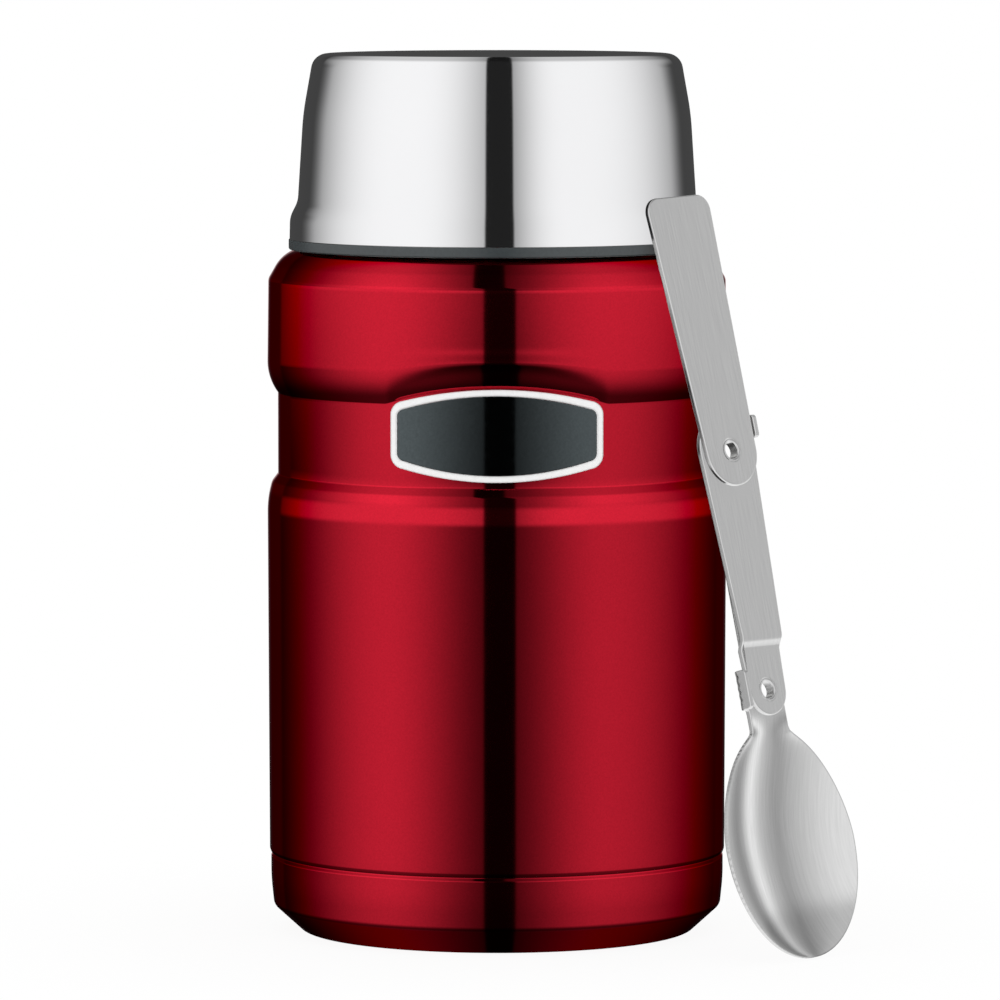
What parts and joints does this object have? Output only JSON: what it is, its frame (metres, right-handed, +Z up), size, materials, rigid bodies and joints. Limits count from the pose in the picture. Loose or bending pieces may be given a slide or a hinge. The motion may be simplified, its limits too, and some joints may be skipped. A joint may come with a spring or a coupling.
{
  "type": "insulated food jar",
  "caption": "Wide-mouth vacuum food jar with a waisted steel body, screw-in stopper, steel cup lid and a folding spoon on riveted pivots leaning beside it.",
  "frame": {"origin": "centre of the ring on which the jar stands, on the jar's axis", "axes": "+Z up along the jar's axis, -Y towards the badge, +X to the right seen from the badge's side"},
  "size_m": [0.1274, 0.1129, 0.1911],
  "materials": {
    "red_paint": "metallic red lacquer over steel, high gloss",
    "polished_steel": "polished stainless steel",
    "vessel_steel": "satin stainless steel",
    "spoon_steel": "satin brushed stainless steel, brushed along the strips",
    "copper_foil": "thin bright copper foil",
    "getter_metal": "pressed porous metal",
    "seal_glass": "opaque solder glass",
    "badge_rim": "smooth white rim",
    "badge_grey": "smooth dark grey field",
    "seal_rubber": "soft translucent grey silicone",
    "black_plastic": "fine moulded texture",
    "trim_plastic": "smooth dark slate",
    "foam": "rigid cream foam"
  },
  "bodies": {
    "jar": {"outer_shell": "red_paint", "bottom_cup": "red_paint", "base_disc": "vessel_steel", "inner_vessel": "vessel_steel", "foil_wrap": "copper_foil", "getter": "getter_metal", "seal_bead": "seal_glass", "badge_frame": "badge_rim", "badge_field": "badge_grey"},
    "seal": {"stopper_seal": "seal_rubber"},
    "stopper": {"stopper_body": "black_plastic", "stopper_foam": "foam", "stopper_cover": "black_plastic"},
    "lid_trim": {"trim_ring": "trim_plastic"},
    "lid": {"lid_liner": "black_plastic", "lid_shell": "polished_steel"},
    "spoon": {"spoon_bowl": "spoon_steel", "lower_rivet": "spoon_steel"},
    "link": {"spoon_link": "spoon_steel", "upper_rivet": "spoon_steel"},
    "handle": {"spoon_handle": "spoon_steel"}
  },
  "joints": [
    {"name": "stopper_lift", "type": "slide", "parent": "jar", "child": "seal", "axis": [0, 0, 1], "range_m": [0, 0.09]},
    {"name": "stopper_turn", "type": "hinge", "parent": "seal", "child": "stopper", "pos_m": [0, 0, 0.162], "axis": [0, 0, 1], "range_deg": [0, 360]},
    {"name": "lid_lift", "type": "slide", "parent": "seal", "child": "lid_trim", "axis": [0, 0, 1], "range_m": [0, 0.095]},
    {"name": "lid_turn", "type": "hinge", "parent": "lid_trim", "child": "lid", "pos_m": [0, 0, 0.151], "axis": [0, 0, 1], "range_deg": [0, 360]},
    {"name": "spoon_lift", "type": "slide", "parent": "jar", "child": "spoon", "axis": [0, 0, 1], "range_m": [0, 0.12]},
    {"name": "link_fold", "type": "hinge", "parent": "spoon", "child": "link", "pos_m": [0.05733, -0.04277, 0.05662], "axis": [-0.683, 0.683, -0.2588], "range_deg": [0, 180]},
    {"name": "handle_fold", "type": "hinge", "parent": "link", "child": "handle", "pos_m": [0.04932, -0.03476, 0.10701], "axis": [0.683, -0.683, 0.2588], "range_deg": [-2, 177.8]}
  ]
}
